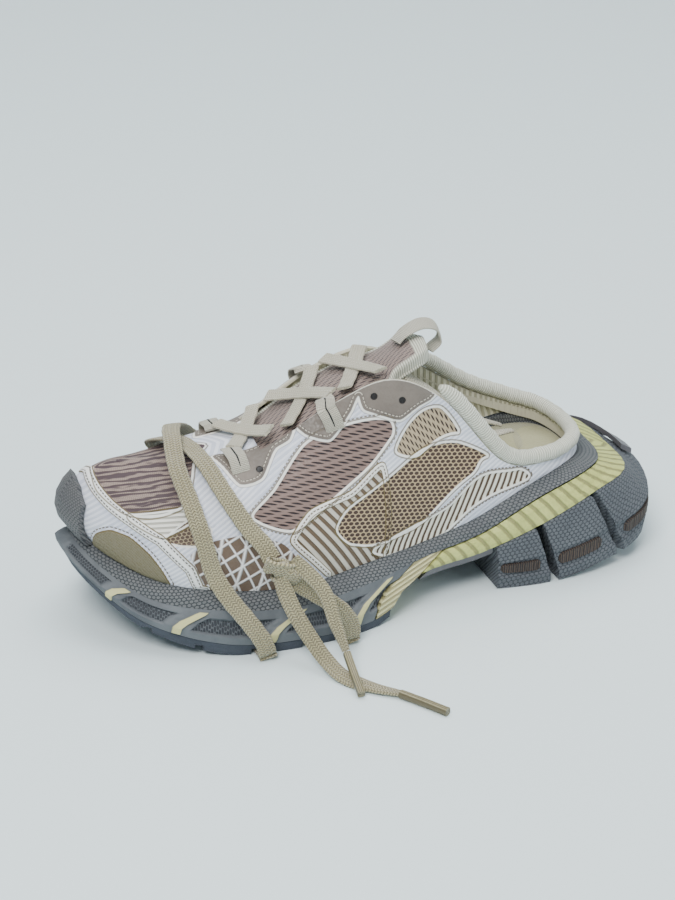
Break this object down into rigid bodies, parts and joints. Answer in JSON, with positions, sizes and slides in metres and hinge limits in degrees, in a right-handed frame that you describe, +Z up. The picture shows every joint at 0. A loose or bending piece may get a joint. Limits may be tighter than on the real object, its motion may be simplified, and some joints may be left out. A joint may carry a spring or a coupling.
{
  "type": "sneaker",
  "caption": "Backless runner mule sneaker for the left foot: knit shell upper with moulded overlays, low padded heel rim and a chunky segmented sole.",
  "frame": {"origin": "middle of the shoe's box on the floor, the free lace left out", "axes": "+X from toe to heel, +Y towards the medial side, +Z up"},
  "size_m": [0.3098, 0.2057, 0.1287],
  "materials": {
    "grey_foam": "matte foam with a moulded hexagon grain",
    "yellow_foam": "satin foam",
    "cream_foam": "satin foam, ribbed",
    "dark_rubber": "matte rubber",
    "grey_plate": "satin moulding",
    "knit": "rippled mesh over a stiff backing",
    "smooth_leather": "smooth, stitched at the edge",
    "silver_film": "moulded film",
    "olive_film": "moulded film",
    "pale_knit": "padded knit",
    "pale_lining": "felt-like top cloth",
    "pale_lace": "flat woven",
    "beige_lace": "flat woven",
    "webbing": "ribbed webbing",
    "tip_plastic": "wrapped film"
  },
  "bodies": {
    "root": {"midsole": "grey_foam", "forefoot_frame": "grey_foam", "outsole_forefoot": "dark_rubber", "arch_wedge": "cream_foam", "chassis_band": "yellow_foam", "shank_plate": "grey_plate", "heel_block_front_lateral": "dark_rubber", "heel_block_front_medial": "dark_rubber", "heel_block_mid_lateral": "dark_rubber", "heel_block_mid_medial": "dark_rubber", "heel_block_rear": "dark_rubber", "heel_ridge": "grey_plate", "upper": "knit", "toe_bumper": "grey_foam", "toe_patch_lateral": "olive_film", "toe_patch_medial": "olive_film", "eyestay_lateral": "smooth_leather", "eyestay_medial": "smooth_leather", "side_cage_lateral": "silver_film", "side_cage_medial": "silver_film", "lace_keeper_lateral_1": "webbing", "lace_keeper_lateral_2": "webbing", "lace_keeper_medial_1": "webbing", "lace_keeper_medial_2": "webbing", "tongue": "pale_knit", "pull_loop": "webbing", "collar_roll": "pale_knit", "insole": "pale_lining", "lace_crossing_1": "pale_lace", "lace_crossing_2": "pale_lace", "lace_crossing_3": "pale_lace", "wrap_lace": "beige_lace", "lace_knot": "beige_lace", "lace_end_front": "beige_lace", "lace_end_rear": "beige_lace", "lace_tip_front": "tip_plastic", "lace_tip_rear": "tip_plastic", "inner_lace_end_1": "pale_lace", "inner_lace_end_2": "pale_lace"}
  },
  "joints": []
}
